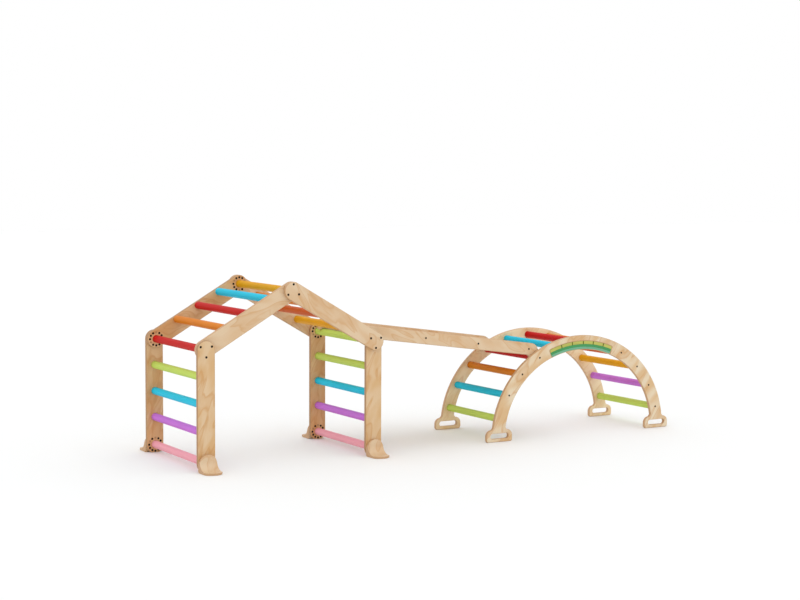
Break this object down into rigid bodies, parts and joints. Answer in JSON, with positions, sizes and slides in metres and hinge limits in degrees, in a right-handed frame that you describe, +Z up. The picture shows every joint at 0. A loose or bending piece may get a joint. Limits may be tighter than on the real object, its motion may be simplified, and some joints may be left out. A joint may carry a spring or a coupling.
{
  "type": "climbing triangle with slide",
  "caption": "Wooden climbing frame of hinged ladder sections with index-locked joints, joined by a slide board to a free-standing arch climber, for small children.",
  "frame": {"origin": "middle of the set's footprint box, on the floor", "axes": "+X from the house-shaped frame to the arch, +Y to the back, +Z up"},
  "size_m": [2.6254, 0.795, 0.805],
  "materials": {
    "birch_ply": "satin",
    "slide_board": "satin",
    "red_paint": "satin",
    "orange_paint": "satin",
    "rust_paint": "satin",
    "amber_paint": "satin",
    "lime_paint": "satin",
    "cyan_paint": "satin",
    "violet_paint": "satin",
    "pink_paint": "satin",
    "green_paint": "satin",
    "teal_paint": "satin"
  },
  "bodies": {
    "right_leg": {"right_leg_rail_front": "birch_ply", "right_leg_rail_back": "birch_ply", "right_leg_foot_rung": "pink_paint", "right_leg_rung_1": "violet_paint", "right_leg_rung_2": "cyan_paint", "right_leg_rung_3": "lime_paint"},
    "right_roof": {"right_roof_rail_front": "birch_ply", "right_roof_rail_back": "birch_ply", "right_joint_rung": "lime_paint", "apex_rung": "amber_paint", "right_roof_rung_1": "amber_paint", "right_roof_rung_2": "rust_paint", "right_roof_rung_3": "orange_paint"},
    "left_roof": {"left_roof_rail_front": "birch_ply", "left_roof_rail_back": "birch_ply", "left_roof_rung_1": "orange_paint", "left_roof_rung_2": "red_paint", "left_roof_rung_3": "cyan_paint"},
    "left_leg": {"left_leg_rail_front": "birch_ply", "left_leg_rail_back": "birch_ply", "left_joint_rung": "red_paint", "left_leg_foot_rung": "pink_paint", "left_leg_rung_1": "violet_paint", "left_leg_rung_2": "cyan_paint", "left_leg_rung_3": "lime_paint"},
    "left_foot_front": {"left_leg_foot_front": "birch_ply"},
    "left_foot_back": {"left_leg_foot_back": "birch_ply"},
    "right_foot_front": {"right_leg_foot_front": "birch_ply"},
    "right_foot_back": {"right_leg_foot_back": "birch_ply"},
    "slide": {"slide_rail_front": "birch_ply", "slide_rail_back": "birch_ply", "slide_deck": "slide_board"},
    "arch": {"arch_rail_front": "birch_ply", "arch_rail_back": "birch_ply", "arch_rung_1": "lime_paint", "arch_rung_2": "cyan_paint", "arch_rung_3": "orange_paint", "arch_rung_4": "red_paint", "arch_rung_5": "cyan_paint", "arch_rung_6": "red_paint", "arch_rung_7": "orange_paint", "arch_rung_8": "rust_paint", "arch_rung_9": "amber_paint", "arch_rung_10": "violet_paint", "arch_rung_11": "lime_paint", "rainbow_band_1": "teal_paint", "rainbow_band_2": "green_paint", "rainbow_band_3": "lime_paint"}
  },
  "joints": [
    {"name": "right_hinge", "type": "hinge", "parent": "right_leg", "child": "right_roof", "pos_m": [-0.44031, 0, 0.524], "axis": [0, 1, 0], "range_deg": [-30, 60]},
    {"name": "apex_hinge", "type": "hinge", "parent": "right_roof", "child": "left_roof", "pos_m": [-0.856, 0, 0.764], "axis": [0, 1, 0], "range_deg": [0, 60]},
    {"name": "left_hinge", "type": "hinge", "parent": "left_roof", "child": "left_leg", "pos_m": [-1.27169, 0, 0.524], "axis": [0, 1, 0], "range_deg": [-60, 60]},
    {"name": "left_foot_front_hinge", "type": "hinge", "parent": "left_leg", "child": "left_foot_front", "pos_m": [-1.27169, 0, 0.037], "axis": [0, 1, 0], "range_deg": [-60, 60]},
    {"name": "left_foot_back_hinge", "type": "hinge", "parent": "left_leg", "child": "left_foot_back", "pos_m": [-1.27169, 0, 0.037], "axis": [0, 1, 0], "range_deg": [-60, 60]},
    {"name": "right_foot_front_hinge", "type": "hinge", "parent": "right_leg", "child": "right_foot_front", "pos_m": [-0.44031, 0, 0.037], "axis": [0, 1, 0], "range_deg": [-60, 60]},
    {"name": "right_foot_back_hinge", "type": "hinge", "parent": "right_leg", "child": "right_foot_back", "pos_m": [-0.44031, 0, 0.037], "axis": [0, 1, 0], "range_deg": [-60, 60]},
    {"name": "slide_hinge", "type": "hinge", "parent": "right_leg", "child": "slide", "pos_m": [-0.44031, 0, 0.524], "axis": [0, -1, 0], "range_deg": [0, 35]},
    {"name": "arch_pull", "type": "slide", "parent": "right_leg", "child": "arch", "axis": [1, 0, 0], "range_m": [0, 0.3]}
  ]
}
